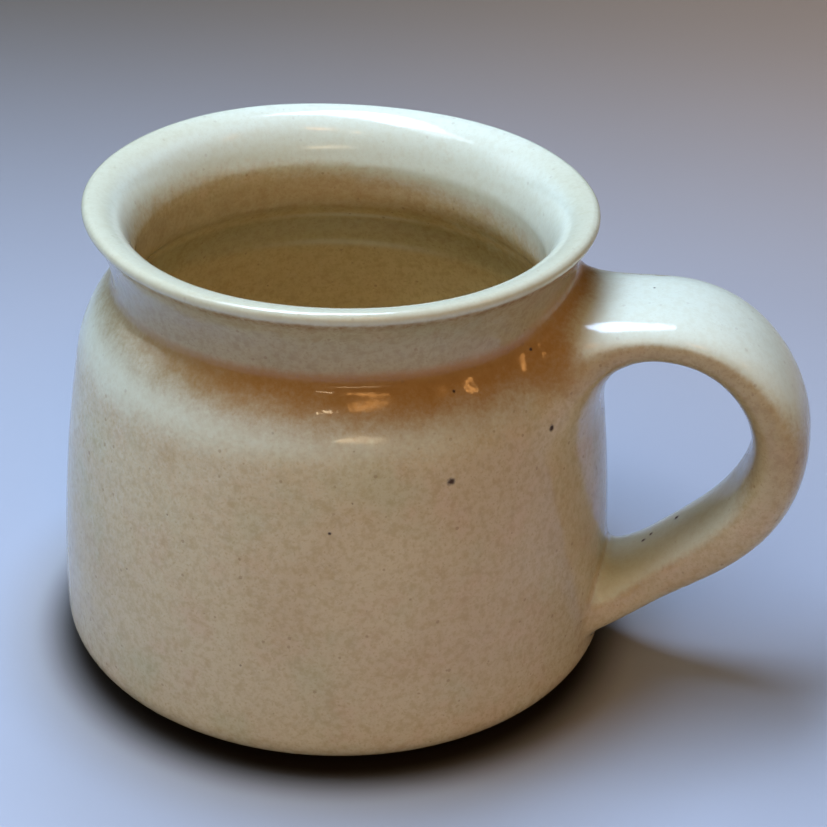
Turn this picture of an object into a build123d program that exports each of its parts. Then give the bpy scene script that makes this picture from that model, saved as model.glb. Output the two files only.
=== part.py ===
from build123d import *
from math import pi, sin, cos
import os

# A hand-thrown stoneware mug with a flared collar and one pulled strap handle.
#
# Frame: millimetres, +Z up. The origin is the centre of the foot ring's resting
# face, the mug's turning axis is Z, and the handle points along +X.
#
# The clay is four pieces: the thrown body, the pulled handle, and the two lumps of
# luting clay that the handle's ends are smoothed into. Two coats of glaze lie on the
# clay: a liner poured inside, and an outer coat over the body, luting and handle
# together. Their edges meet on the crest of the lip, and the foot ring is bare.

# ---- glazed outside of the body: (radius from the axis, height above the table) ----
HEIGHT = 89.5              # crest of the lip
LIP_RADIUS = 46.0          # widest point of the lip
LIP_ROUNDING = 1.25        # half the thickness of the lip's edge
COLLAR_TOP = (45.56, 87.3)  # the collar runs into the underside of the lip here
COLLAR_MID = (42.2, 80.8)  # the collar's waist
CREASE = (41.0, 73.6)      # sharp line between the collar and the shoulder
SHOULDER = (48.0, 60.0)    # the shoulder turns into the belly
BELLY_MID = (51.1, 34.0)
BELLY_LOW = (52.0, 8.0)    # widest point of the body, above the rounded heel
UNDERSIDE = 1.9            # height of the belly's underside above the table

# ---- glazed inside of the body ----
THROAT_RADIUS = 37.0       # narrowest point of the inside
THROAT_TOP = 77.5          # the flare up to the lip starts here
THROAT_BOTTOM = 74.2       # the inside opens out under the shoulder from here
FLARE_ROUNDING = 6.26      # the tighter, upper curve of the flare
FLARE_TURN = 60.0          # degrees that it turns
INNER_NECK = (38.6, 70.0)  # the throat meets the hollow of the shoulder
INNER_SHOULDER = (43.2, 60.5)
INNER_BELLY_MID = (46.25, 38.0)
INNER_BELLY_LOW = (47.2, 17.0)
FLOOR_ROUNDING = 9.5
FLOOR = 7.5                # height of the inside floor above the table

# ---- foot ring and glaze ----
FOOT_OUTER = 44.4
FOOT_INNER = 39.8
FOOT_EDGE = 0.6            # the ring's edges are wiped round
GLAZE = 0.4                # thickness of both coats
GLAZE_STOP = 45.0          # the outer coat is wiped off inside this radius

# ---- handle: a strap, wide at the top and narrower at the bottom ----
# Its centre line in the XZ plane, from inside the collar's wall to the low root.
HANDLE_LINE = [(42.0, 67.6), (47.4, 70.0), (56.8, 72.7), (68.7, 71.2), (81.7, 53.1),
               (77.1, 36.1), (63.7, 23.4), (53.0, 16.2), (47.5, 14.4)]
STRAP_WIDTHS = (26.0, 17.2)      # at the top and at the bottom
STRAP_THICKNESS = 8.3
STRAP_SWELL = 1.8                # added thickness low on the back of the strap
SWELL_SKEW = 1.6                 # moves the swelling towards the bottom
ROOT_LENGTH = 0.17               # part of the strap's length over which an end flares
UPPER_FLARE = (10.0, 11.0)       # width and thickness added at the upper end
LOWER_FLARE = (11.0, 4.0)        # and at the lower end
SECTIONS = 23                    # cross-sections that the strap is drawn through
UPPER_CUT = 56.0                 # the handle's own clay starts at this X
LOWER_CUT = (58.6, 19.8)         # and ends at this point of its centre line
LOWER_CUT_DIRECTION = (-0.81, 0, -0.59)

SECTION_PLANE = Plane.XZ
REACH = 200.0                    # larger than the mug in every direction
PAST_AXIS = -20.0                # half sections are carried this far past the axis


def inside_line():
    """The inside, from the crest of the lip down to the middle of the floor."""
    crest = (LIP_RADIUS - LIP_ROUNDING, HEIGHT)
    centre = (crest[0], HEIGHT - FLARE_ROUNDING)
    upper = CenterArc(centre, FLARE_ROUNDING, 90, FLARE_TURN)
    lower = TangentArc(upper @ 1, (THROAT_RADIUS, THROAT_TOP), tangent=upper % 1)
    throat = Line(lower @ 1, (THROAT_RADIUS, THROAT_BOTTOM))
    neck = TangentArc(throat @ 1, INNER_NECK, tangent=throat % 1)
    shoulder = TangentArc(neck @ 1, INNER_SHOULDER, tangent=neck % 1)
    belly = ThreePointArc(INNER_SHOULDER, INNER_BELLY_MID, INNER_BELLY_LOW)
    corner_end = (INNER_BELLY_LOW[0] - FLOOR_ROUNDING, FLOOR)
    corner = TangentArc(belly @ 1, corner_end, tangent=belly % 1)
    floor = Line(corner @ 1, (PAST_AXIS, FLOOR))
    return [upper, lower, throat, neck, shoulder, belly, corner, floor]


def outside_line():
    """The outside, from the middle of the underside up to the crest of the lip."""
    heel_start = (BELLY_LOW[0] - (BELLY_LOW[1] - UNDERSIDE), UNDERSIDE)
    base = Line((PAST_AXIS, UNDERSIDE), heel_start)
    heel = TangentArc(heel_start, BELLY_LOW, tangent=(1, 0))
    belly = ThreePointArc(BELLY_LOW, BELLY_MID, SHOULDER)
    shoulder = TangentArc(SHOULDER, CREASE, tangent=belly % 1)
    collar = ThreePointArc(CREASE, COLLAR_MID, COLLAR_TOP)
    lip_side = (LIP_RADIUS, HEIGHT - LIP_ROUNDING)
    lip = ThreePointArc(COLLAR_TOP, lip_side, (LIP_RADIUS - LIP_ROUNDING, HEIGHT))
    return [base, heel, belly, shoulder, collar, lip]


def inset(chain):
    """A chain of lines and arcs moved to its left, into the clay, by the glaze's thickness."""
    def left(edge, at):
        direction = edge % at
        return Vector(-direction.Y, direction.X)

    ends = [chain[0] @ 0 + left(chain[0], 0) * GLAZE]
    for edge, following in zip(chain, chain[1:]):
        first, second = left(edge, 1), left(following, 0)
        ends.append(edge @ 1 + (first + second) * (GLAZE / (1 + first.dot(second))))
    ends.append(chain[-1] @ 1 + left(chain[-1], 1) * GLAZE)
    moved = []
    for edge, start, end in zip(chain, ends, ends[1:]):
        middle = edge @ 0.5 + left(edge, 0.5) * GLAZE
        straight = edge.geom_type == GeomType.LINE
        moved.append(Line(start, end) if straight else ThreePointArc(start, middle, end))
    return moved


def section(chain):
    """The face inside a chain that starts and ends just past the axis."""
    return make_face(Wire(chain + [Line(chain[-1] @ 1, chain[0] @ 0)]))


def filled_line():
    """The glazed outside, closed across the mouth."""
    outside = outside_line()
    return outside + [Line(outside[-1] @ 1, (PAST_AXIS, HEIGHT))]


def ring_section(inner, outer, low, high):
    """A rectangle in the half section, between two radii and two heights."""
    return Pos((inner + outer) / 2, (low + high) / 2) * Rectangle(outer - inner, high - low)


def turned(half_section):
    """What lies outside the axis in a half section, turned round the axis."""
    kept = half_section & ring_section(0, REACH, -REACH, REACH)
    return revolve(SECTION_PLANE * kept, Axis.Z)


def thrown_body():
    ring = ring_section(FOOT_INNER, FOOT_OUTER, 0, UNDERSIDE + 2 * GLAZE)
    ring = fillet(ring.vertices().sort_by(Axis.Y)[:2], FOOT_EDGE)
    return turned(section(inset(outside_line() + inside_line()))) + turned(ring)


def liner_glaze():
    """The coat on the inside, from the crest of the lip down to the floor."""
    surface = inside_line()
    under = inset(surface)
    ends = [Line(surface[0] @ 0, under[0] @ 0), Line(surface[-1] @ 1, under[-1] @ 1)]
    return turned(make_face(Wire(surface + under + ends)))


def strap_size(along):
    """Width and thickness of the strap at a fraction of its length from the top."""
    width = STRAP_WIDTHS[1] + (STRAP_WIDTHS[0] - STRAP_WIDTHS[1]) * (0.5 + 0.5 * cos(pi * along))
    thickness = STRAP_THICKNESS + STRAP_SWELL * sin(pi * along ** SWELL_SKEW) ** 2
    for flare, distance in ((UPPER_FLARE, along), (LOWER_FLARE, 1 - along)):
        amount = max(0, 1 - distance / ROOT_LENGTH) ** 2
        width += flare[0] * amount
        thickness += flare[1] * amount
    return width, thickness


def strap(coat):
    """The whole strap with its flared ends, inside a coat of the given thickness."""
    line = SECTION_PLANE * Spline(HANDLE_LINE)
    sections = []
    for i in range(SECTIONS):
        along = i / (SECTIONS - 1)
        width, thickness = strap_size(along)
        plane = Plane(origin=line @ along, x_dir=(0, 1, 0), z_dir=line % along)
        sections.append(plane * Ellipse(width / 2 + coat, thickness / 2 + coat))
    return loft(sections)


def strap_pieces():
    """The strap outside the clay body, cut into upper luting, handle and lower luting."""
    whole = strap(0) - turned(section(inset(filled_line())))
    near_collar = Pos(UPPER_CUT - REACH / 2, 0, BELLY_MID[1] + REACH / 2) * Box(REACH, REACH, REACH)
    low_plane = Plane(origin=(LOWER_CUT[0], 0, LOWER_CUT[1]), z_dir=LOWER_CUT_DIRECTION)
    near_heel = low_plane * Pos(0, 0, REACH / 2) * Box(REACH, REACH, REACH)
    return whole & near_collar, whole - near_collar - near_heel, whole & near_heel


def outer_glaze():
    """The coat over the body's outside, the luting and the handle."""
    glazed = turned(section(filled_line())) + strap(GLAZE)
    clay = turned(section(inset(filled_line()))) + strap(0)
    mouth = Pos(0, 0, HEIGHT) * Cylinder(LIP_RADIUS - LIP_ROUNDING, 2 * LIP_ROUNDING)
    foot = Cylinder(GLAZE_STOP, 4 * UNDERSIDE)
    return glazed - clay - mouth - foot


upper_luting, pulled_handle, lower_luting = strap_pieces()
pieces = {
    "thrown_body": thrown_body(),
    "pulled_handle": pulled_handle,
    "upper_luting": upper_luting,
    "lower_luting": lower_luting,
    "liner_glaze": liner_glaze(),
    "outer_glaze": outer_glaze(),
}
os.makedirs("parts", exist_ok=True)
for name, piece in pieces.items():
    export_step(piece, f"parts/{name}.step")
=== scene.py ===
import math

import bmesh
import bpy
import numpy as np
from mathutils import Matrix, Vector


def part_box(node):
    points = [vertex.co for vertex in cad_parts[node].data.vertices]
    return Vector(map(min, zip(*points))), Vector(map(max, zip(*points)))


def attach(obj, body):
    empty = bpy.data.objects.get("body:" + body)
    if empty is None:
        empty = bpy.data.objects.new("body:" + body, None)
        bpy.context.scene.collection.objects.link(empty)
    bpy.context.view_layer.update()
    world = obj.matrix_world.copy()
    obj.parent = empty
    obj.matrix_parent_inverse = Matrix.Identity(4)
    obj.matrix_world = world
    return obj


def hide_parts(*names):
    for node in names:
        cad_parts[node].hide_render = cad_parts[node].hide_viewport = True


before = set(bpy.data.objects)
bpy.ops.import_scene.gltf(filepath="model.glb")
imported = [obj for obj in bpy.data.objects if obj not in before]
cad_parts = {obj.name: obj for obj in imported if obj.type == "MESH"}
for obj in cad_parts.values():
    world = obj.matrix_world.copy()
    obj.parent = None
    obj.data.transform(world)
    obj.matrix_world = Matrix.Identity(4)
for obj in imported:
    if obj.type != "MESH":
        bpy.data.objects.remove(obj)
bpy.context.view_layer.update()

# The mug's own units are millimetres, scaled so that its height is the frame's.
HEIGHT = 89.5
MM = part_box("outer_glaze")[1].z / HEIGHT


# ---------------------------------------------------------------- outlines
# (radius, height) outlines of the glazed surfaces, built from the same arcs as the frame's.

def arc_through(a, b, c, steps=24):
    """Points on the arc from a through b to c, without c."""
    (ax, ay), (bx, by), (cx, cy) = a, b, c
    d = 2 * (ax * (by - cy) + bx * (cy - ay) + cx * (ay - by))
    a2, b2, c2 = ax * ax + ay * ay, bx * bx + by * by, cx * cx + cy * cy
    ox = (a2 * (by - cy) + b2 * (cy - ay) + c2 * (ay - by)) / d
    oy = (a2 * (cx - bx) + b2 * (ax - cx) + c2 * (bx - ax)) / d
    radius = math.hypot(ax - ox, ay - oy)
    start = math.atan2(ay - oy, ax - ox)
    turn_b = (math.atan2(by - oy, bx - ox) - start) % (2 * math.pi)
    turn = (math.atan2(cy - oy, cx - ox) - start) % (2 * math.pi)
    if turn_b > turn:
        turn -= 2 * math.pi
    angles = start + turn * np.arange(steps) / steps
    return [(ox + radius * math.cos(t), oy + radius * math.sin(t)) for t in angles]


def arc_from(a, direction, c, steps=24):
    """Points on the arc that leaves a in a direction and ends at c, and its direction at c."""
    chord = np.subtract(c, a)
    along = chord / np.linalg.norm(chord)
    direction = np.array(direction) / np.linalg.norm(direction)
    out = 2 * along * (direction @ along) - direction
    side = np.array([-direction[1], direction[0]])
    if abs(chord @ side) < 1e-6:
        return [tuple(np.add(a, chord * k / steps)) for k in range(steps)], out
    radius = (chord @ chord) / (2 * (chord @ side))
    centre = np.add(a, side * radius)
    turn = 2 * math.atan2(direction[0] * along[1] - direction[1] * along[0], direction @ along)
    start = math.atan2(a[1] - centre[1], a[0] - centre[0])
    angles = start + turn * np.arange(steps) / steps
    return [tuple(centre + abs(radius) * np.array([math.cos(t), math.sin(t)])) for t in angles], out


CREST = (44.75, HEIGHT)        # top of the lip
CREASE = (41.0, 73.6)          # where shoulder and collar meet
GLAZE_STOP = 45.0              # radius where the outer glaze ends, beside the foot ring
UNDERSIDE = 1.9                # height of that edge
GLAZE = 0.4                    # thickness of the coats

HEEL_START = (45.9, UNDERSIDE)
HEEL = (52.0, 8.0)
BELLY = (51.1, 34.0)
SHOULDER = (48.0, 60.0)
COLLAR = (42.2, 80.8)
LIP_UNDER = (45.56, 87.3)
LIP_EDGE = (46.0, 88.25)

LIP_ROUND = 6.26               # radius of the lip's inner roll
LIP_ROLL = 60                  # degrees that it turns through
FLARE_END = (-0.5, -0.866)     # the roll's direction there
NECK_TOP = (37.0, 77.5)
NECK_FOOT = (37.0, 74.2)
INNER_SHOULDER = ((38.6, 70.0), (43.2, 60.5))
INNER_BELLY = (46.25, 38.0)
INNER_CORNER = ((47.2, 17.0), (37.7, 7.5))


def outside_outline():
    """From the glaze's edge beside the foot ring up to the crest of the lip."""
    heel, _ = arc_from(HEEL_START, (1, 0), HEEL)
    belly = arc_through(HEEL, BELLY, SHOULDER, 80)
    shoulder, _ = arc_from(SHOULDER, np.subtract(SHOULDER, belly[-1]), CREASE, 40)
    collar = arc_through(CREASE, COLLAR, LIP_UNDER, 40)
    lip = arc_through(LIP_UNDER, LIP_EDGE, CREST)
    return np.array([(GLAZE_STOP, UNDERSIDE)] + heel + belly + shoulder + collar + lip + [CREST])


def inside_outline():
    """From the crest of the lip down to the middle of the floor."""
    def on_roll(t):
        return (CREST[0] - LIP_ROUND * math.sin(t), CREST[1] - LIP_ROUND * (1 - math.cos(t)))
    shoulder_top, belly_top = INNER_SHOULDER
    corner_top, floor_edge = INNER_CORNER
    roll = [on_roll(t) for t in np.radians(np.linspace(0, LIP_ROLL, 25)[:-1])]
    flare, _ = arc_from(on_roll(math.radians(LIP_ROLL)), FLARE_END, NECK_TOP, 30)
    neck, leaving = arc_from(NECK_FOOT, (0, -1), shoulder_top)
    shoulder, _ = arc_from(shoulder_top, leaving, belly_top, 30)
    belly = arc_through(belly_top, INNER_BELLY, corner_top, 60)
    corner, _ = arc_from(corner_top, (0, -1), floor_edge, 30)
    floor = [(r, floor_edge[1]) for r in np.linspace(floor_edge[0], 0.0, 40)]
    return np.array(roll + flare + [NECK_TOP] + neck + shoulder + belly + corner + floor)


def soften(outline, corner, reach, passes):
    """Rounds an outline's corner at a point, as glaze fills it."""
    line = respace(outline, lambda p: 0.15)
    weight = np.exp(-(np.linalg.norm(line - corner, axis=1) / reach) ** 2)[:, None]
    for _ in range(passes):
        middle = (np.roll(line, 1, 0) + np.roll(line, -1, 0)) / 2
        middle[[0, -1]] = line[[0, -1]]
        line = line + (middle - line) * weight
    return line


def respace(outline, spacing):
    """The outline with points as far apart as spacing(point) says."""
    steps = np.linalg.norm(np.diff(outline, axis=0), axis=1)
    along = np.concatenate([[0], np.cumsum(steps)])
    density = np.array([1 / spacing(p) for p in outline])
    count = np.concatenate([[0], np.cumsum(steps * (density[1:] + density[:-1]) / 2)])
    total = max(2, int(round(count[-1])))
    at = np.interp(np.linspace(0, count[-1], total + 1), count, along)
    return np.stack([np.interp(at, along, outline[:, k]) for k in (0, 1)], -1)


# ---------------------------------------------------------------- handle
# Centre line in the XZ plane and the strap's size along it, as in the frame.

HANDLE_LINE = [(42.0, 67.6), (47.4, 70.0), (56.8, 72.7), (68.7, 71.2), (81.7, 53.1),
               (77.1, 36.1), (63.7, 23.4), (53.0, 16.2), (47.5, 14.4)]
STRAP_WIDTHS = (26.0, 17.2)          # at the top and at the bottom
STRAP_THICKNESS = 8.3
STRAP_SWELL = 1.8                    # how much thicker it is where it swells
SWELL_SKEW = 1.6                     # above 1 puts the swelling nearer the bottom
UPPER_FLARE = (10.0, 11.0, 0.17)     # extra width, extra thickness, share of the strap's length
LOWER_FLARE = (11.0, 4.0, 0.17)
SQUARENESS = 2.6                     # 2 is an ellipse, more is a flatter strap with rounded edges
BLEND_REACH = ((19, 28, 55), (2.0, 5.0, 8.0))     # heights, and how wide the smoothing is there
BLEND_END = (1, 11)                  # the smoothing starts at this height and grows over this much
CHUNK = 4000                         # points measured at one time, to save memory


def cubic_through(points, samples):
    """Points evenly along the smooth curve through the given ones, and its directions."""
    p = np.array(points, float)
    t = np.concatenate([[0], np.cumsum(np.linalg.norm(np.diff(p, axis=0), axis=1))])
    n, h = len(p), np.diff(t)
    a, rhs = np.zeros((n, n)), np.zeros((n, 2))
    a[0, :3] = h[1], -(h[0] + h[1]), h[0]
    a[-1, -3:] = h[-1], -(h[-2] + h[-1]), h[-2]
    for i in range(1, n - 1):
        a[i, i - 1:i + 2] = h[i - 1], 2 * (h[i - 1] + h[i]), h[i]
        rhs[i] = 6 * ((p[i + 1] - p[i]) / h[i] - (p[i] - p[i - 1]) / h[i - 1])
    m = np.linalg.solve(a, rhs)

    def at(u):
        i = np.clip(np.searchsorted(t, u, side="right") - 1, 0, n - 2)
        d, e, s = (u - t[i])[:, None], (t[i + 1] - u)[:, None], h[i][:, None]
        curve = (m[i] * e ** 3 + m[i + 1] * d ** 3) / (6 * s)
        return curve + (p[i] / s - m[i] * s / 6) * e + (p[i + 1] / s - m[i + 1] * s / 6) * d

    fine = at(np.linspace(0, t[-1], 4000))
    length = np.concatenate([[0], np.cumsum(np.linalg.norm(np.diff(fine, axis=0), axis=1))])
    even = np.linspace(0, length[-1], samples)
    line = np.stack([np.interp(even, length, fine[:, k]) for k in (0, 1)], -1)
    direction = np.gradient(line, axis=0)
    return line, direction / np.linalg.norm(direction, axis=1)[:, None], length[-1]


def strap_size(along):
    """Width and thickness of the glazed strap at fractions of its length."""
    top, bottom = STRAP_WIDTHS
    width = bottom + (top - bottom) * (0.5 + 0.5 * np.cos(np.pi * along))
    thickness = STRAP_THICKNESS + STRAP_SWELL * np.sin(np.pi * along ** SWELL_SKEW) ** 2
    for flare, distance in ((UPPER_FLARE, along), (LOWER_FLARE, 1 - along)):
        amount = np.clip(1 - distance / flare[2], 0, None) ** 2
        width, thickness = width + flare[0] * amount, thickness + flare[1] * amount
    return width + 2 * GLAZE, thickness + 2 * GLAZE


SAMPLES = 240
LINE, DIRECTION, LENGTH = cubic_through(HANDLE_LINE, SAMPLES)
OUTSIDE = soften(outside_outline(), CREASE, 1.6, 60)
MEASURED = respace(OUTSIDE, lambda p: 0.5)     # the same outline, coarse enough to measure against


def on_line(place):
    """Points of the strap's centre line and its directions, at places counted in samples."""
    index = np.arange(SAMPLES)
    return (np.stack([np.interp(place, index, LINE[:, k]) for k in (0, 1)], -1),
            np.stack([np.interp(place, index, DIRECTION[:, k]) for k in (0, 1)], -1))


def strap_distance(p):
    """Signed distance from points to the strap's surface, close to it."""
    flat = p[:, [0, 2]]
    nearest = np.concatenate([
        np.argmin(((part[:, None] - LINE[None]) ** 2).sum(-1), axis=1)
        for part in np.array_split(flat, max(1, len(flat) // CHUNK))])
    offset = flat - LINE[nearest]
    step = LENGTH / (SAMPLES - 1)
    along = (offset * DIRECTION[nearest]).sum(-1)
    place = nearest + np.clip(along / step, -1, 1)
    foot, ahead = on_line(place)
    across = np.stack([-ahead[:, 1], ahead[:, 0]], -1)
    rise = ((flat - foot) * across).sum(-1)
    width, thickness = strap_size(np.clip(place / (SAMPLES - 1), 0, 1))
    a, b, n = width / 2, thickness / 2, SQUARENESS
    y, u = np.abs(p[:, 1]) + 1e-6, np.abs(rise) + 1e-6
    rho = ((y / a) ** n + (u / b) ** n) ** (1 / n)
    slope = rho ** (1 - n) * np.hypot(y ** (n - 1) / a ** n, u ** (n - 1) / b ** n)
    return np.maximum((rho - 1) / slope, np.abs(along) - step)      # beyond its ends it has none


def body_distance(p):
    """Signed distance from points to the outside of the body."""
    q = np.stack([np.hypot(p[:, 0], p[:, 1]), p[:, 2]], -1)
    start, run = MEASURED[:-1], np.diff(MEASURED, axis=0)
    length2 = (run ** 2).sum(-1)
    result = np.empty(len(q))
    for rows in np.array_split(np.arange(len(q)), max(1, len(q) // CHUNK)):
        v = q[rows, None] - start[None]
        t = np.clip((v * run).sum(-1) / length2, 0, 1)
        gap = v - t[..., None] * run
        far = (gap ** 2).sum(-1)
        k = far.argmin(1)
        pick = np.arange(len(rows))
        side = run[k, 1] * gap[pick, k, 0] - run[k, 0] * gap[pick, k, 1]
        result[rows] = np.sqrt(far[pick, k]) * np.sign(side)
    return result


def blend_reach(p):
    """How widely the handle's ends are smoothed into the body."""
    floor, fade = BLEND_END
    return np.interp(p[:, 2], *BLEND_REACH) * np.clip((p[:, 2] - floor) / fade, 0.04, 1)


def skin_distance(p):
    """Signed distance to the smooth union of the body and the strap."""
    body, strap, reach = body_distance(p), strap_distance(p), blend_reach(p)
    h = np.clip(0.5 + 0.5 * (strap - body) / reach, 0, 1)
    return strap + (body - strap) * h - reach * h * (1 - h)


def settle(points, passes):
    """Points moved onto the smooth union's surface."""
    p, e = points.copy(), 0.01
    for _ in range(passes):
        f = skin_distance(p)
        g = np.stack([(skin_distance(p + d) - f) / e for d in np.eye(3) * e], -1)
        p -= (f / np.maximum((g ** 2).sum(-1), 0.2))[:, None] * g
    return p


# ---------------------------------------------------------------- making meshes

BODY_WAVE = (0.0022, 2, 0.8)         # share of the radius, waves round the mug, their shift
LIP_WAVE = (0.0018, 3, -1.1)
LIP_LIFTS = ((0.28, 1, 2.3), (0.22, 2, 0.4), (0.12, 5, 1.0))     # millimetres, waves, shift
LIP_DIP = (0.52, -88, 1.05)          # how far the front of the lip dips, its angle, its spread


def wave(angle, size, count, shift):
    """A wave that goes a number of times round the mug."""
    return size * np.cos(count * angle + shift)


def hand_thrown(p):
    """The slight unevenness of a pot thrown by hand, the same for every piece."""
    x, y, z = p.T
    angle, high = np.arctan2(y, x), np.clip((z - 60) / 30, 0, 1) ** 2
    dip, dip_angle, spread = LIP_DIP
    lift = sum(wave(angle, *lift) for lift in LIP_LIFTS)
    lift = high * (lift - dip * near(turned(angle, dip_angle), spread))
    not_handle = np.clip(1 - (np.hypot(x, y) - 50) / 20, 0, 1)
    scale = 1 + (wave(angle, *BODY_WAVE) + high * wave(angle, *LIP_WAVE)) * not_handle
    return np.stack([x * scale, y * scale, z + lift * not_handle], -1)


def near(value, reach):
    """1 at zero, falling smoothly to 0 over about twice the reach."""
    return np.exp(-(value / reach) ** 2)


def turned(angle, degrees):
    """An angle measured from another one given in degrees, between half a turn either way."""
    return (angle - math.radians(degrees) + math.pi) % (2 * math.pi) - math.pi


def make_object(name, points, faces, smooth_to=60):
    """A smooth-shaded object in metres from points in the mug's units."""
    mesh = bpy.data.meshes.new(name)
    mesh.from_pydata((hand_thrown(points) * MM).tolist(), [], faces)
    mesh.validate()
    mesh.polygons.foreach_set("use_smooth", [True] * len(mesh.polygons))
    mesh.set_sharp_from_angle(angle=math.radians(smooth_to))
    obj = bpy.data.objects.new(name, mesh)
    bpy.context.scene.collection.objects.link(obj)
    return obj


def turned_grid(outline, around):
    """Points and quads of an outline turned round the axis; faces look to its right."""
    angles = 2 * np.pi * np.arange(around) / around
    points = np.stack([outline[:, None, 0] * np.cos(angles), outline[:, None, 0] * np.sin(angles),
                       np.repeat(outline[:, None, 1], around, 1)], -1).reshape(-1, 3)
    faces = []
    for i in range(len(outline) - 1):
        a, b = i * around, (i + 1) * around
        faces += [(a + j, a + (j + 1) % around, b + (j + 1) % around, b + j) for j in range(around)]
    return points, faces


def vertex_normals(points, faces):
    """Each point's normal on the mesh of the faces."""
    mesh = bpy.data.meshes.new("normals")
    mesh.from_pydata(points.tolist(), [], faces)
    normals = np.empty(len(points) * 3)
    mesh.vertex_normals.foreach_get("vector", normals)
    bpy.data.meshes.remove(mesh)
    return normals.reshape(-1, 3)


def coat(points, faces):
    """A closed shell as thick as the glaze, under the given outer surface."""
    under = points - vertex_normals(points, faces) * GLAZE
    n, used = len(points), {}
    for face in faces:
        for a, b in zip(face, face[1:] + face[:1]):
            used[(a, b)] = True
    rim = [(b, a, a + n, b + n) for a, b in used if (b, a) not in used]
    back = [tuple(v + n for v in reversed(face)) for face in faces]
    return np.concatenate([points, under]), faces + back + rim


def solid_of(points, faces, name):
    """A plain object in the mug's units, to be joined to another."""
    mesh = bpy.data.meshes.new(name)
    mesh.from_pydata(points.tolist(), [], faces)
    obj = bpy.data.objects.new(name, mesh)
    bpy.context.scene.collection.objects.link(obj)
    return obj


def turned_solid(outline, around, low_height, high_height):
    """An outline turned round the axis and closed at both ends by fans to the axis."""
    points, faces = turned_grid(outline, around)
    low, high = len(points), len(points) + 1
    points = np.concatenate([points, [(0, 0, low_height), (0, 0, high_height)]])
    last = (len(outline) - 1) * around
    faces += [(low, (j + 1) % around, j) for j in range(around)]
    faces += [(high, last + j, last + (j + 1) % around) for j in range(around)]
    return points, faces


def outside_solid():
    """The outside of the body with plain caps, as one closed solid."""
    def spacing(p):
        lip = np.linalg.norm(p - (45.3, 88.3))
        crease = np.linalg.norm(p - CREASE)
        return min(1.0, 0.28 + 0.10 * min(lip, crease))
    return turned_solid(respace(OUTSIDE, spacing), 300, UNDERSIDE, CREST[1])


def strap_solid():
    """The strap as one closed solid, its ends inside the body's wall."""
    rings, around = 124, 60
    place = np.linspace(0, SAMPLES - 1, rings)
    line, ahead = on_line(place)
    width, thickness = strap_size(place / (SAMPLES - 1))
    turn = 2 * np.pi * np.arange(around) / around
    c, s, power = np.cos(turn), np.sin(turn), 2 / SQUARENESS
    y = np.sign(c) * np.abs(c) ** power * width[:, None] / 2
    u = np.sign(s) * np.abs(s) ** power * thickness[:, None] / 2
    points = np.stack([line[:, None, 0] - ahead[:, None, 1] * u, y,
                       line[:, None, 1] + ahead[:, None, 0] * u], -1).reshape(-1, 3)
    faces = [tuple(reversed(range(around)))]
    for i in range(rings - 1):
        a, b = i * around, (i + 1) * around
        faces += [(a + j, a + (j + 1) % around, b + (j + 1) % around, b + j) for j in range(around)]
    faces.append(tuple((rings - 1) * around + j for j in range(around)))
    return points, faces


MERGE = 0.12           # points of the union closer than this become one
SLIVER = 0.02          # and edges shorter than this are dissolved


def order_by_place(joined):
    """Orders points, edges and faces by where they are, as the union's own order varies."""
    for items, place in ((joined.verts, lambda v: v.co),
                         (joined.edges, lambda e: (e.verts[0].co + e.verts[1].co) / 2),
                         (joined.faces, lambda f: f.calc_center_median())):
        order = np.lexsort(np.round([place(item) for item in items], 4).T)
        rank = np.empty(len(order), int)
        rank[order] = np.arange(len(order))
        for item, index in zip(items, rank.tolist()):
            item.index = index
        items.sort()
        items.index_update()


def outer_skin():
    """The outer glaze's surface: body and handle joined and smoothed into each other."""
    body = solid_of(*outside_solid(), "body_solid")
    strap = solid_of(*strap_solid(), "strap_solid")
    union = body.modifiers.new("join", "BOOLEAN")
    union.operation, union.solver, union.object = "UNION", "EXACT", strap
    evaluated = body.evaluated_get(bpy.context.evaluated_depsgraph_get())
    joined = bmesh.new()
    joined.from_mesh(evaluated.to_mesh())
    for obj in (body, strap):
        bpy.data.objects.remove(obj)
    order_by_place(joined)
    bmesh.ops.remove_doubles(joined, verts=joined.verts, dist=MERGE)
    bmesh.ops.dissolve_degenerate(joined, edges=joined.edges, dist=SLIVER)
    caps = [f for f in joined.faces if any(v.co.xy.length < 1 for v in f.verts)]
    bmesh.ops.delete(joined, geom=caps, context="FACES")
    bmesh.ops.triangulate(joined, faces=[f for f in joined.faces if len(f.verts) > 4])
    joined.verts.index_update()
    points = np.array([v.co for v in joined.verts])
    blend = np.abs(strap_distance(points) - body_distance(points)) < blend_reach(points)
    edge = np.array([v.is_boundary for v in joined.verts])
    moving = blend & ~edge
    points[moving] = settle(points[moving], 5)
    points = relax(joined, points, moving)
    faces = [tuple(v.index for v in f.verts) for f in joined.faces]
    joined.free()
    return points, faces


def relax(joined, points, moving, passes=6):
    """Evens out the mesh where it was moved, keeping it on the surface."""
    rows = np.flatnonzero(moving)
    around = [[e.other_vert(v).index for e in v.link_edges] for v in joined.verts if moving[v.index]]
    for _ in range(passes):
        points[rows] = [points[a].mean(0) for a in around]
        points[rows] = settle(points[rows], 1)
    return points


THROWING_RINGS = (6.6, 61.4, 0.22, 1.5)      # pitch, where one of them is, how proud, how wide
FLOOR_SPIRAL = (9.0, 0.035)                  # pitch, how proud
RIDGES = ((79.5, 0.15, 1.1), (67.1, 0.06, 1.3), (59.8, 0.18, 1.2))    # height, how proud, how wide
FOOT = (39.8, 44.4)                          # inner and outer radius of the foot ring
FOOT_EDGE = 0.5                              # rounding of its edges
RECESS = UNDERSIDE + GLAZE                   # height of the bare underside inside the ring


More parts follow.
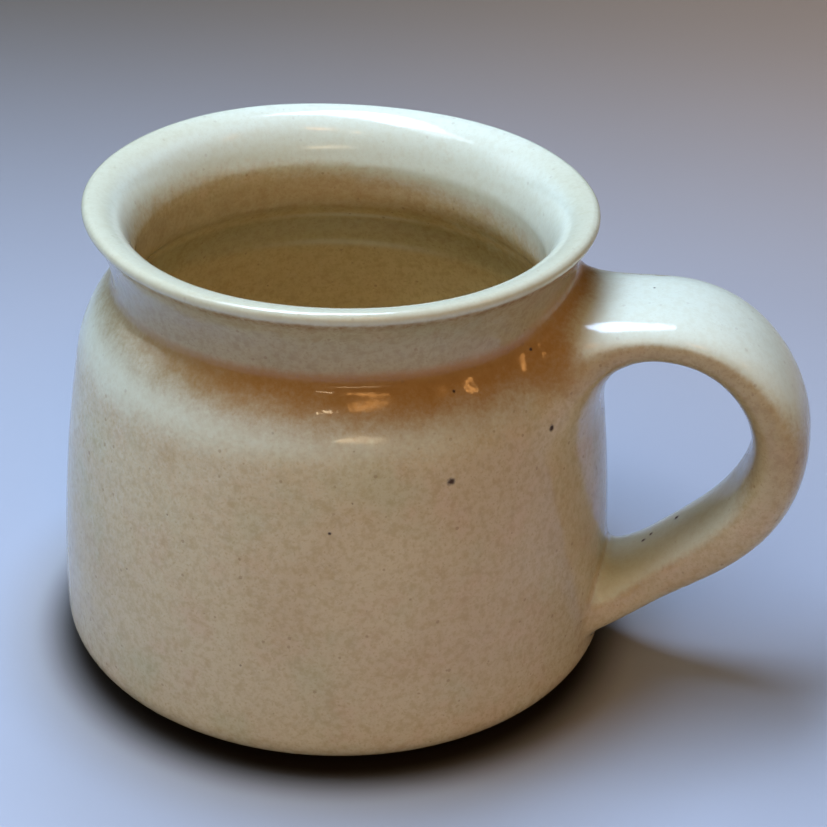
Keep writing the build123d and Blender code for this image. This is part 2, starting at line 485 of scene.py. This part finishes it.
def ridge_level(height, angle):
    """A ridge's height round the mug: it rises and falls a little."""
    return height + 0.25 * np.sin(2 * angle + height)


def finger_marks(points):
    """How proud the inside stands where the potter's fingers left rings, ridges and a spiral."""
    x, y, z = points.T
    angle, radius = np.arctan2(y, x), np.hypot(x, y)
    pitch, start, proud, reach = THROWING_RINGS
    off = (((z + pitch * angle / (2 * np.pi) - start) / pitch + 0.5) % 1 - 0.5) * pitch
    wall = np.clip((z - 12) / 8, 0, 1) * np.clip((58 - z) / 8, 0, 1)
    marks = proud * near(off, reach) * wall
    for height, proud, reach in RIDGES:
        marks += proud * near(z - ridge_level(height, angle), reach)
    pitch, proud = FLOOR_SPIRAL
    flat = np.clip((9.5 - z) / 1.5, 0, 1) * np.clip(radius / 6, 0, 1)
    return marks + proud * np.cos(2 * math.pi * radius / pitch + angle) * flat


def liner():
    """The inside glaze's surface, with the throwing rings left by the potter's fingers."""
    def spacing(p):
        if p[0] < NECK_TOP[0]:
            return 1.6
        if 55 < p[1] < 71:
            return 0.4
        return min(0.9, 0.35 + 0.10 * np.linalg.norm(p - CREST))
    outline, around = respace(inside_outline(), spacing), 240
    points, faces = turned_grid(outline[:-1], around)
    points += vertex_normals(points, faces) * finger_marks(points)[:, None]
    middle, last = len(points), (len(outline) - 2) * around
    faces += [(last + j, last + (j + 1) % around, middle) for j in range(around)]
    return np.concatenate([points, [(0, 0, outline[-1][1])]]), faces


def clay_body():
    """The bare clay under the glaze, seen only at the foot."""
    outer = inward(respace(OUTSIDE, lambda p: 1.4))
    inner = inward(respace(inside_outline(), lambda p: 2.0))
    (inside, outside), edge, soft = FOOT, FOOT_EDGE, 0.3 * FOOT_EDGE
    foot = [(inside, RECESS), (inside, edge), (inside + soft, soft), (inside + edge, 0.0),
            (outside - edge, 0.0), (outside - soft, soft), (outside, edge), (outside, RECESS)]
    under = [(radius, RECESS) for radius in (8.0, 24.0, 36.0)]
    outline = np.concatenate([under, foot, outer[1:], inner[1:-1]])
    return turned_solid(outline, 200, RECESS, inner[-1][1])


def inward(outline):
    """An outline moved under the glaze, to the left of its direction."""
    run = np.gradient(outline, axis=0)
    run /= np.linalg.norm(run, axis=1)[:, None]
    return outline + np.stack([-run[:, 1], run[:, 0]], -1) * GLAZE


# ---------------------------------------------------------------- what the glaze does where

GROOVE_FACES = -48     # degrees; the glaze pooled deepest in the groove on this side
LIGHT_FACES = -150     # painted light: the glaze is painted whiter on this side of the body, where the window lamp falls
FLARE_FACES = 0.3      # radians; white is painted deepest inside the cup on this side, as light from the left lamps on the inner wall
WHITE_RUN = 0.8        # and a narrow strip of white goes further down here
RIDGE_HIGHLIGHTS = ((67.3, 0.55), (60.1, 0.75))     # height and reach of the ridges that get a painted highlight
RIDGE_HIGHLIGHT_FACES = 99        # degrees; the middle of the side where the painted highlight lies


def outer_marks(p, normals):
    """Per point of the outer skin: its height, how far it faces up, where glaze pooled or ran thin."""
    z, angle = p[:, 2], np.arctan2(p[:, 1], p[:, 0])
    body, strap = body_distance(p), strap_distance(p)
    on_body = near(np.clip(body, 0, None), 4.0)
    on_strap = np.clip((body - 1) / 6, 0, 1)

    # Pooled in the groove, deepest at the front, and round both roots of the handle.
    front = 0.5 + 0.5 * np.cos(angle - math.radians(GROOVE_FACES))
    below = near(np.clip(CREASE[1] + 0.6 - z, 0, None), 4.2 + 3.6 * front)
    above = near(np.clip(z - CREASE[1] - 0.8, 0, None), 0.8 + 1.0 * front)
    groove = below * above * on_body * (0.45 + 0.55 * front)
    apart = np.maximum(np.abs(body), np.abs(strap))
    upper = near(np.clip(apart - 1.8, 0, None), 3.0) * np.clip((z - 64) / 9, 0, 1)
    lower = near(np.clip(apart - 1.2, 0, None), 2.8) * np.clip((36 - z) / 8, 0, 1)
    pooled = 1 - (1 - groove) * (1 - 0.88 * upper) * (1 - 0.20 * lower)

    # Thin under the lip and on a short piece of the strap's far edge.
    under_lip = near(z - 86.7, 0.8) * (np.hypot(p[:, 0], p[:, 1]) > 44.5) * on_body
    far_edge = near(p[:, 1] - 10.0, 0.8) * near(np.clip(np.abs(p[:, 0] - 54) - 3, 0, None), 1.5)
    far_edge *= (z > 74) * (body > 3)

    # lit: painted light on the side the window lamp falls on, added to up
    lit = 0.12 * np.cos(angle - math.radians(LIGHT_FACES)) - 0.05
    # up: how far a point faces up, which the glaze paints whiter as light from above; less on the low
    # strap
    up = normals[:, 2] + lit * on_body - 0.10 * on_strap * np.clip((48 - z) / 12, 0, 1)
    return {"height": z, "up": up, "pooled": pooled, "thin": np.clip(under_lip + far_edge, 0, 1),
            # collar: where the glaze is painted greyer as shade under the overhanging lip
            "collar": np.clip((z - CREASE[1]) / 3, 0, 1) * np.clip((88 - z) / 2, 0, 1) * on_body,
            # strap: the upper strap, painted darker as shade on its sides
            "strap": on_strap * np.clip((z - 36) / 16, 0, 1),
            "lip": 0.88 * np.clip((z - 86.7) / 1.2, 0, 1) * on_body}


def inner_marks(p, normals):
    """Per point of the liner, the same, and a painted highlight on two ridges in place of the strap."""
    z, angle = p[:, 2], np.arctan2(p[:, 1], p[:, 0])
    throat = near(np.clip(z - 76, 0, None), 2.2) * near(np.clip(73.0 - z, 0, None), 5.5)
    corner = near(np.clip(z - 14, 0, None), 8.0)
    side = 0.75 + 0.25 * np.cos(angle - math.radians(150))
    toward = np.cos(angle - FLARE_FACES)
    # Painted light: the white reaches lower on the side facing FLARE_FACES.
    lip = np.clip((z - 75.2 + 4.6 * toward + 1.8 * np.clip(-toward, 0, 1)) / 7, 0, 1)
    run = 0.42 * near(angle - WHITE_RUN, 0.5) * np.clip((z - 61) / 9, 0, 1)
    # Only the flare is painted whiter for facing up, as painted light from above, not the floor or the
    # ridges.
    up = np.where(z > 76, normals[:, 2], np.minimum(normals[:, 2], -0.1))
    none = np.zeros(len(p))
    return {"height": z, "up": up, "thin": none, "collar": none, "ridge": painted_ridge_highlight(z, angle),
            "pooled": np.clip(0.42 * throat * side + 0.40 * corner, 0, 1),
            "lip": np.maximum(lip, run)}


def painted_ridge_highlight(z, angle):
    """A painted highlight along the two boldest ridges of the wall, at the back."""
    ridges = sum(near(z - ridge_level(height, angle), reach) for height, reach in RIDGE_HIGHLIGHTS)
    return ridges * near(turned(angle, RIDGE_HIGHLIGHT_FACES), 0.34)


def record_marks(obj, marks):
    """Keeps the marks as point attributes of a coat, on both its faces, for the materials to read."""
    for name, values in marks.items():
        values = np.concatenate([values, values])
        layer = obj.data.attributes.new(name, "FLOAT", "POINT")
        layer.data.foreach_set("value", values.astype(np.float32))


# ---------------------------------------------------------------- materials

class Graph:
    """Short calls that build a material's nodes; sizes are in millimetres."""

    def __init__(self, name):
        self.material = bpy.data.materials.new(name)
        self.material.use_nodes = True
        self.tree = self.material.node_tree
        self.tree.nodes.clear()
        self.shader = self.tree.nodes.new("ShaderNodeBsdfPrincipled")
        output = self.tree.nodes.new("ShaderNodeOutputMaterial")
        self.tree.links.new(self.shader.outputs["BSDF"], output.inputs["Surface"])
        self.place = self.tree.nodes.new("ShaderNodeTexCoord").outputs["Object"]

    def node(self, kind, values, output=0, **settings):
        """Makes a node, sets or links its inputs and gives one of its outputs."""
        made = self.tree.nodes.new(kind)
        for name, value in settings.items():
            setattr(made, name, value)
        for key, value in values.items():
            if isinstance(value, bpy.types.NodeSocket):
                self.tree.links.new(value, made.inputs[key])
            else:
                made.inputs[key].default_value = value
        return made.outputs[output]

    def math(self, operation, *values, clamp=False):
        return self.node("ShaderNodeMath", dict(enumerate(values)), operation=operation, use_clamp=clamp)

    def where(self, size, shift):
        """Object coordinates where one unit is a size in millimetres."""
        return self.node("ShaderNodeMapping", {"Vector": self.place, "Scale": [1 / (size * MM)] * 3,
                                               "Location": (shift, shift * 1.7, shift * 0.6)})

    def noise(self, size, shift, detail=2.0, rough=0.5):
        """Noise with features of a size; another shift gives another pattern."""
        return self.node("ShaderNodeTexNoise", {"Vector": self.where(size, shift), "Scale": 1.0,
                                                "Detail": detail, "Roughness": rough})

    def cells(self, size, shift, output=0):
        """Distance to scattered points about a size apart, or their random colours."""
        return self.node("ShaderNodeTexVoronoi", {"Vector": self.where(size, shift), "Scale": 1.0},
                         output=output)

    def ramp(self, value, low, high, bottom=0.0, top=1.0):
        """Smoothly from bottom to top while value goes from low to high."""
        return self.node("ShaderNodeMapRange", {"Value": value, "From Min": low, "From Max": high,
                                                "To Min": bottom, "To Max": top},
                         interpolation_type="SMOOTHSTEP")

    def mark(self, name):
        """One of the marks recorded on the coat."""
        return self.node("ShaderNodeAttribute", {}, output="Fac", attribute_name=name)

    def mix(self, share, first, second, blend="MIX"):
        """A share of the second colour over the first."""
        return self.node("ShaderNodeMix", {"Factor": share, 6: first, 7: second}, output=2,
                         data_type="RGBA", blend_type=blend)

    def times(self, share, first, second):
        """The first colour multiplied by a share of the second."""
        return self.mix(share, first, second, "MULTIPLY")

    def scaled(self, value, factor):
        return self.math("MULTIPLY", value, factor)

    def plus(self, value, other, factor):
        """The other value plus a factor of the first."""
        return self.math("MULTIPLY_ADD", value, factor, other)

    def axis(self, name):
        """The X, Y or Z object coordinate, in metres."""
        return self.node("ShaderNodeSeparateXYZ", {"Vector": self.place}, output=name)

    def radius(self):
        """Distance from the mug's axis, in metres."""
        flat = self.node("ShaderNodeVectorMath", {0: self.place, 1: (1.0, 1.0, 0.0)}, output="Vector",
                         operation="MULTIPLY")
        return self.node("ShaderNodeVectorMath", {0: flat}, output="Value", operation="LENGTH")

    def bumps(self, height, depth, strength=1.0):
        """The normal of a surface with a height map that is a depth in millimetres."""
        return self.node("ShaderNodeBump", {"Height": height, "Strength": strength,
                                            "Distance": depth * MM}, output="Normal")

    def specks(self, spacing, size, amount, shift):
        """0 to 1 in scattered dots of varied size; amount is how many cells hold one."""
        distance = self.cells(spacing, shift)
        chance = self.node("ShaderNodeSeparateColor", {"Color": self.cells(spacing, shift, output=1)})
        unit = size / spacing
        reach = self.scaled(self.ramp(chance, 1 - amount, 1.0), unit)
        wobble = self.plus(self.noise(size * 0.8, shift + 3), distance, unit * 0.7)
        inside = self.math("SUBTRACT", self.math("ADD", reach, unit * 0.35), wobble)
        return self.math("MULTIPLY", inside, 3.0 / unit, clamp=True)

    def spot(self, place, size, squeeze):
        """0 to 1 in one blemish at a place given in millimetres."""
        away = self.node("ShaderNodeVectorMath", {0: self.place, 1: [v * MM for v in place]},
                         output="Vector", operation="SUBTRACT")
        away = self.node("ShaderNodeVectorMath", {0: away, 1: (1.0, 1.0, squeeze)},
                         output="Vector", operation="MULTIPLY")
        length = self.node("ShaderNodeVectorMath", {0: away}, output="Value", operation="LENGTH")
        ragged = self.plus(self.noise(size * 0.5, place[0]), length, size * MM * 0.5)
        return self.ramp(ragged, size * MM * 0.95, size * MM * 0.45)

    def any_of(self, values):
        """The largest of some values."""
        total = values[0]
        for value in values[1:]:
            total = self.math("MAXIMUM", total, value)
        return total

    def set(self, **values):
        """Sets or links the shader's sockets, named with _ for a space."""
        for name, value in values.items():
            key = name.replace("_", " ")
            if isinstance(value, bpy.types.NodeSocket):
                self.tree.links.new(value, self.shader.inputs[key])
            else:
                self.shader.inputs[key].default_value = value


MILK = (0.72, 0.76, 0.61, 1)          # thick white glaze, also the colour of painted light on what faces up
CREAM = (0.64, 0.54, 0.33, 1)         # its usual colour on the wall, and three that mottle it
OAT = (0.60, 0.48, 0.28, 1)
SAGE = (0.56, 0.52, 0.31, 1)
BLUSH = (0.64, 0.48, 0.30, 1)
AMBER = (0.40, 0.215, 0.065, 1)       # pooled in the groove towards the handle
HONEY = (0.37, 0.27, 0.13, 1)         # and away from it
UMBER = (0.17, 0.075, 0.02, 1)        # pooled deepest
OLIVE = (0.58, 0.43, 0.14, 1)         # inside the cup
MOSS = (0.36, 0.33, 0.17, 1)          # a band round the inside, under the neck
RUST = (0.27, 0.155, 0.065, 1)        # thin glaze over an edge, and soft specks
IRON = (0.13, 0.065, 0.03, 1)
PIT = (0.050, 0.022, 0.011, 1)

COLLAR_SHADE_TINT = (0.72, 0.72, 0.65, 1)
STRAP_SHADE_TINT = (0.83, 0.79, 0.70, 1)
GRAIN_TINT = (0.72, 0.63, 0.49, 1)
MILK_GRAIN_TINT = (0.80, 0.72, 0.58, 1)
CREST_TINT = (0.86, 0.81, 0.73, 1)

INSIDE_LOOK = {"olive": 0.55, "ragged_white": 0.95, "peel": 0.5, "waves": 1.2}
OUTSIDE_LOOK = {"ragged_white": 0.45, "peel": 0.8, "waves": 2.4}
STIRRED = 0.33                        # how much rougher the cup's floor is
GLAZE_BUMP = 0.10                     # millimetres


def glaze(name, look, blemishes=()):
    """Glossy cream stoneware glaze: mottled, amber where it pooled, with iron specks."""
    g = Graph(name)
    inside = "olive" in look
    height, up, pooled, thin, collar, lip = (
        g.mark(name) for name in ("height", "up", "pooled", "thin", "collar", "lip"))

    # Mottled cream, greyer on the collar as painted shade under the lip.
    colour = g.mix(g.ramp(g.noise(24, 2, detail=3), 0.38, 0.66), CREAM, OAT)
    colour = g.mix(g.ramp(g.noise(15, 31, detail=3), 0.52, 0.74, 0.0, 0.75), colour, SAGE)
    colour = g.mix(g.ramp(g.noise(9, 11, detail=4, rough=0.6), 0.50, 0.72, 0.0, 0.55), colour, BLUSH)
    colour = g.times(g.scaled(collar, 0.9), colour, COLLAR_SHADE_TINT)
    if inside:
        colour = g.mix(g.ramp(height, 78, 60, 0.0, look["olive"]), colour, OLIVE)
        band = g.math("MULTIPLY", g.ramp(height, 58.5, 61.5), g.ramp(height, 68.0, 66.0))
        colour = g.mix(g.scaled(band, 0.50), colour, MOSS)
    else:
        # The upper strap painted darker: a painted shade on its sides.
        colour = g.times(g.mark("strap"), colour, STRAP_SHADE_TINT)
    fine = g.noise(1.5, 5, detail=3, rough=0.65)
    grain = g.math("MAXIMUM", g.ramp(fine, 0.40, 0.70, 0.0, 0.55),
                   g.ramp(g.noise(0.55, 19, detail=2), 0.50, 0.74, 0.0, 0.55))
    colour = g.times(grain, colour, GRAIN_TINT)
    if inside:
        # The two ridges painted whiter at the back: a painted highlight.
        colour = g.mix(g.scaled(g.mark("ridge"), 0.50), colour, MILK)

    # Whiter on what faces up, partly glaze lying thick there and partly painted light from above, and on
    # the lip, partly its own white and partly a painted highlight, with the grain only faint there.
    white = g.math("MAXIMUM", g.ramp(up, -0.05, 0.62), lip)
    tufts = g.math("SUBTRACT", g.noise(4.2, 61, detail=5, rough=0.65), 0.5)
    white = g.plus(tufts, white, look["ragged_white"])
    white = g.plus(g.math("SUBTRACT", g.noise(0.8, 63, detail=2), 0.5), white, 0.35)
    white = g.ramp(white, 0.08, 0.95)
    milk = g.times(g.scaled(grain, 0.45), MILK, MILK_GRAIN_TINT)
    crest = g.math("MULTIPLY", g.ramp(height, 87.0, 89.2), g.ramp(g.axis("Y"), 44 * MM, 16 * MM))
    milk = g.times(crest, milk, CREST_TINT)
    colour = g.mix(white, colour, milk)

    # Amber where it ran thick, browner where it is deepest, with ragged edges.
    amber = g.mix(g.ramp(g.axis("X"), -34 * MM, -2 * MM), HONEY, AMBER)
    ragged = g.plus(g.noise(4.5, 7, detail=4, rough=0.6), pooled, 0.42)
    ragged = g.plus(g.noise(0.9, 17, detail=3, rough=0.7), ragged, 0.46)
    thick = g.math("MULTIPLY", g.ramp(ragged, 0.41, 1.42), g.ramp(pooled, 0.0, 0.35))
    colour = g.mix(thick, colour, amber)
    colour = g.mix(g.ramp(ragged, 1.28, 1.85, 0.0, 0.5), colour, UMBER)

    # A broken tan line where it ran thin over an edge.
    broken = g.ramp(g.noise(1.6, 41, detail=4, rough=0.7), 0.30, 0.70, 0.05, 0.85)
    colour = g.mix(g.math("MULTIPLY", thin, broken), colour, RUST)

    # Iron in the clay, coming through as specks, less where the glaze is thick, and as pits.
    soft = g.specks(2.2, 0.40, 0.60, 1.3)
    sharp = g.specks(4.6, 0.27, 0.50, 8.1)
    veiled = g.math("SUBTRACT", 1.0, g.scaled(white, 0.65))
    colour = g.mix(g.math("MULTIPLY", g.scaled(soft, 0.46), veiled), colour, RUST)
    colour = g.mix(g.math("MULTIPLY", g.scaled(sharp, 0.60), veiled), colour, IRON)

    # Slightly uneven, as glaze settles.
    surface = g.plus(g.noise(1.3, 9, detail=1), g.scaled(g.noise(4.0, 3, detail=2), look["peel"]), 0.16)
    surface = g.plus(g.noise(14.0, 23, detail=1), surface, look["waves"])
    surface = g.plus(sharp, surface, -0.12)
    roughness = g.ramp(g.noise(6, 51, detail=3), 0.3, 0.7, 0.09, 0.15)
    if blemishes:
        pits = g.any_of([g.spot(*blemish) for blemish in blemishes])
        colour = g.mix(pits, colour, PIT)
        surface = g.plus(pits, surface, -0.8)
        roughness = g.plus(pits, roughness, 0.5)
    if inside:
        # Stirring has dulled the floor of the cup.
        roughness = g.math("ADD", roughness, g.ramp(height, 17, 8, 0.0, STIRRED))
    g.set(Base_Color=colour, Roughness=roughness, Normal=g.bumps(surface, GLAZE_BUMP), IOR=1.5)
    return g.material


BUFF = (0.47, 0.335, 0.215, 1)
TOAST = (0.36, 0.225, 0.125, 1)
CLAY_GRAIN_TINT = (0.66, 0.56, 0.46, 1)
GRIT = (0.58, 0.47, 0.34, 1)
CLAY_IRON = (0.09, 0.045, 0.025, 1)
RING_TINT = (0.74, 0.66, 0.58, 1)
RING_PITCH = 1.7                      # of the turning marks
CLAY_BUMP = 0.10


def bare_clay(name):
    """Unglazed stoneware: toasted buff, gritty, with turning marks."""
    g = Graph(name)
    tone = g.noise(13, 4, detail=4, rough=0.6)
    colour = g.mix(g.ramp(tone, 0.35, 0.68), BUFF, TOAST)
    colour = g.times(g.ramp(g.noise(0.7, 6, detail=3), 0.42, 0.70, 0.0, 0.6), colour, CLAY_GRAIN_TINT)
    grit = g.specks(1.6, 0.30, 0.5, 2.2)
    iron = g.specks(3.4, 0.42, 0.45, 6.4)
    colour = g.mix(g.scaled(grit, 0.5), colour, GRIT)
    colour = g.mix(g.scaled(iron, 0.75), colour, CLAY_IRON)
    turns = g.plus(g.radius(), g.scaled(g.noise(8, 12), 3.0), 2 * math.pi / (RING_PITCH * MM))
    rings = g.math("SINE", turns)
    colour = g.times(g.ramp(rings, -0.2, 0.9, 0.0, 0.30), colour, RING_TINT)
    surface = g.plus(rings, g.noise(0.55, 14, detail=4, rough=0.7), 0.45)
    surface = g.plus(grit, surface, 0.5)
    g.set(Base_Color=colour, Roughness=g.ramp(tone, 0.3, 0.7, 0.80, 0.92),
          Normal=g.bumps(surface, CLAY_BUMP))
    return g.material


# ---------------------------------------------------------------- the pieces

# Iron spots and pits. Body: angle in degrees, height, size, how much flatter than wide.
BODY_SPOTS = [(-50.5, 71.5, 0.55, 1.0), (-26.5, 73.0, 0.6, 1.0), (-140.0, 5.5, 0.7, 1.0),
              (-54.0, 57.5, 1.35, 1.0), (-27.5, 60.5, 1.0, 0.8), (-78.5, 50.0, 0.6, 1.0)]
# Strap: share of its length, distance from its middle line, outer or inner face, and the same.
STRAP_SPOTS = [(0.15, 2.5, 1, 0.5, 1.0), (0.845, 0.0, -1, 1.05, 1.5),
               (0.83, 1.0, -1, 1.0, 1.5), (0.775, 2.0, -1, 1.2, 1.5)]


def blemish_places():
    """Places, sizes and flatness of all spots, with their places moved onto the skin."""
    places, sizes = [], []
    for angle, z, *size in BODY_SPOTS:
        radius, turn = np.interp(z, OUTSIDE[:, 1], OUTSIDE[:, 0]), math.radians(angle)
        places.append((radius * math.cos(turn), radius * math.sin(turn), z))
        sizes.append(size)
    for share, y, face, *size in STRAP_SPOTS:
        line, ahead = on_line(np.array([share * (SAMPLES - 1)]))
        out = face * strap_size(np.array([share]))[1][0] / 2
        places.append((line[0, 0] - ahead[0, 1] * out, y, line[0, 1] + ahead[0, 0] * out))
        sizes.append(size)
    places = hand_thrown(settle(np.array(places), 5))
    return [(place.tolist(), *size) for place, size in zip(places, sizes)]


skin_points, skin_faces = outer_skin()
outer_coat = make_object("outer_coat", *coat(skin_points, skin_faces))
record_marks(outer_coat, outer_marks(skin_points, vertex_normals(skin_points, skin_faces)))
outer_coat.data.materials.append(glaze("outer_glaze_look", OUTSIDE_LOOK, blemish_places()))

liner_points, liner_faces = liner()
liner_coat = make_object("liner_coat", *coat(liner_points, liner_faces))
record_marks(liner_coat, inner_marks(liner_points, vertex_normals(liner_points, liner_faces)))
liner_coat.data.materials.append(glaze("liner_glaze_look", INSIDE_LOOK))

clay = make_object("clay_body", *clay_body())
clay_look = bare_clay("bare_clay_look")
clay.data.materials.append(clay_look)

for piece, node, slot in ((outer_coat, "outer_glaze", "outer_glaze"),
                          (liner_coat, "liner_glaze", "liner_glaze"),
                          (clay, "thrown_body", "bare_clay")):
    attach(piece, "root")
    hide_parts(node)

for node in ("pulled_handle", "upper_luting", "lower_luting"):
    carried = bpy.data.objects[node]
    carried.data.materials.clear()
    carried.data.materials.append(clay_look)


# ---------------------------------------------------------------- floor, lights, camera

NEAR_PAPER = (0.43, 0.47, 0.54, 1)
FAR_PAPER_SHADED = ((0.19, 0.15, 0.10, 1), (0.60, 0.43, 0.31, 1))     # far left and far right, with painted shade
SHADE = (0.80, 0.70, 0.58, 1)         # painted shadow round the mug
CONTACT_SHADOW = (0.03, 0.02, 0.013, 1)      # painted contact shadow under its heel
ROOM_GLOW = (0.74, 0.72, 0.70, 1)
FLOOR_REACH = 2.5                     # metres from the middle to an edge
FLOOR_DROP = 0.05                     # millimetres under the foot


def floor_look():
    """A matt pale paper floor, with painted shade that darkens it towards the back."""
    g = Graph("floor_look")
    # Painted shade: the paper turns darker and warmer towards the back, darkest at the far left.
    far = g.mix(g.ramp(g.axis("X"), -0.28, 0.34), *FAR_PAPER_SHADED)
    colour = g.mix(g.ramp(g.axis("Y"), 0.00, 0.42), NEAR_PAPER, far)
    colour = g.times(g.ramp(g.noise(160, 3, detail=3), 0.3, 0.7, 0.0, 0.3), colour, (0.9, 0.9, 0.9, 1))
    radius = g.radius()
    # Painted shadow round the mug and a painted contact shadow under its heel.
    colour = g.times(g.ramp(radius, 72 * MM, 50 * MM), colour, SHADE)
    colour = g.times(g.ramp(radius, 60 * MM, 49 * MM), colour, CONTACT_SHADOW)
    # Paper far from the lamps is lit by the room, which no lamp here reaches.
    g.set(Base_Color=colour, Roughness=0.6, Normal=g.bumps(g.noise(1.2, 5, detail=3), 0.05, 0.3),
          Emission_Color=ROOM_GLOW, Emission_Strength=g.ramp(radius, 0.55, 1.7, 0.0, 0.16))
    return g.material


def make_floor():
    mesh = bpy.data.meshes.new("floor")
    r = FLOOR_REACH
    mesh.from_pydata([(-r, -r, 0), (r, -r, 0), (r, r, 0), (-r, r, 0)], [], [(0, 1, 2, 3)])
    floor = bpy.data.objects.new("floor", mesh)
    floor.location.z = -FLOOR_DROP * MM
    bpy.context.scene.collection.objects.link(floor)
    mesh.materials.append(floor_look())


LIT_PLACE = Vector((0, 0, 0.05))
DAYLIGHT = (0.54, 0.70, 1.0)
CLOUDLIGHT = (0.70, 0.85, 1.0)
WALL_LIGHT = (0.85, 0.95, 1.0)
LAMPLIGHT = (1.0, 0.62, 0.30)
AMBER_LIGHT = (1.0, 0.46, 0.14)
LAMP_DISTANCE = 1.2
# Small lamps that glint in the groove and on the shoulder: azimuth and elevation, size, power, colour.
LAMPS = [("lamp_front", (-61, 48), (0.27, 0.11), 0.55, AMBER_LIGHT),
         ("lamp_front_low", (-65, 44.5), (0.15, 0.08), 0.20, (1.0, 0.50, 0.18)),
         ("lamp_side", (-85, 41.5), (0.10, 0.035), 0.20, (1.0, 0.78, 0.50)),
         ("lamp_right", (-24, 43), (0.03, 0.02), 0.02, AMBER_LIGHT),
         ("lamp_root", (-10, 38), (0.05, 0.22), 0.32, AMBER_LIGHT),
         ("lamp_low", (-69, 19.5), (0.52, 0.06), 0.65, (1.0, 0.74, 0.44))]
ROOM_LIGHT = ((1.0, 0.86, 0.74, 1), 0.025)     # colour and strength from everywhere


def area_light(name, place, size, power, colour):
    """A rectangular lamp that looks at the mug's middle; places and sizes are in metres."""
    light = bpy.data.lights.new(name, "AREA")
    light.shape, light.size, light.size_y = "RECTANGLE", size[0], size[1]
    light.energy, light.color = power, colour
    obj = bpy.data.objects.new(name, light)
    obj.location = place
    obj.rotation_euler = (LIT_PLACE - Vector(place)).to_track_quat("-Z", "Y").to_euler()
    bpy.context.scene.collection.objects.link(obj)
    return obj




def from_the_mug(azimuth, elevation, distance):
    """A place seen from the mug at an azimuth from +X, an elevation and a distance in metres."""
    a, e = math.radians(azimuth), math.radians(elevation)
    return (distance * math.cos(e) * math.cos(a), distance * math.cos(e) * math.sin(a),
            distance * math.sin(e))


def make_lights():
    """Soft daylight from above and the left, and warm room light that only fills."""
    far = LAMP_DISTANCE
    area_light("overhead", (-0.09, 0.05, 0.56), (0.40, 0.17), 4.3, DAYLIGHT)
    area_light("window", from_the_mug(-152, 60, 0.75), (0.26, 0.26), 1.1, CLOUDLIGHT)
    area_light("left", from_the_mug(176, 28, far), (0.60, 0.50), 1.2, WALL_LIGHT)
    fills = (area_light("right", from_the_mug(8, 34, far), (0.45, 0.40), 0.85, (1.0, 0.88, 0.70)),
             area_light("room", from_the_mug(-66, 9, 1.5), (0.85, 0.45), 2.5, LAMPLIGHT),
             area_light("fill", from_the_mug(-98, 50, far), (0.50, 0.40), 1.3, (1.0, 0.78, 0.52)))
    for light in fills:
        light.visible_glossy = False
    for name, direction, size, power, colour in LAMPS:
        lamp = area_light(name, from_the_mug(*direction, far), size, power, colour)
        lamp.data.shape = "ELLIPSE"
    world = bpy.data.worlds.new("studio")
    world.use_nodes = True
    background = world.node_tree.nodes["Background"].inputs
    background["Color"].default_value, background["Strength"].default_value = ROOM_LIGHT
    bpy.context.scene.world = world


CAMERA_DISTANCE = 359.2     # from the mug's axis, level
CAMERA_HEIGHT = 249.9
CAMERA_SIDE = 13.0          # degrees from the handle's square-on view
CAMERA_HEADING = -10.767
CAMERA_PITCH = 29.663       # below the horizon
CAMERA_ROLL = 1.836
CAMERA_LENS = 95.77
CAMERA_SENSOR = 36.0


def make_camera():
    """The camera at the height and angle from which the mug is best seen."""
    side, heading, pitch, roll = (math.radians(v) for v in
                                  (CAMERA_SIDE, CAMERA_HEADING, CAMERA_PITCH, CAMERA_ROLL))
    eye = Vector((CAMERA_DISTANCE * math.sin(side), -CAMERA_DISTANCE * math.cos(side), CAMERA_HEIGHT)) * MM
    ahead = Vector((math.sin(heading) * math.cos(pitch), math.cos(heading) * math.cos(pitch),
                    -math.sin(pitch)))
    right = ahead.cross(Vector((0, 0, 1))).normalized()
    up = right.cross(ahead)
    right, up = (right * math.cos(roll) + up * math.sin(roll),
                 up * math.cos(roll) - right * math.sin(roll))
    data = bpy.data.cameras.new("camera")
    data.lens, data.sensor_width, data.sensor_fit = CAMERA_LENS, CAMERA_SENSOR, "HORIZONTAL"
    data.clip_start, data.clip_end = 0.01, 20.0
    camera = bpy.data.objects.new("camera", data)
    camera.matrix_world = Matrix.Translation(eye) @ Matrix((right, up, -ahead)).transposed().to_4x4()
    bpy.context.scene.collection.objects.link(camera)
    bpy.context.scene.camera = camera


make_floor()
make_lights()
make_camera()
bpy.context.scene.view_settings.view_transform = "Standard"
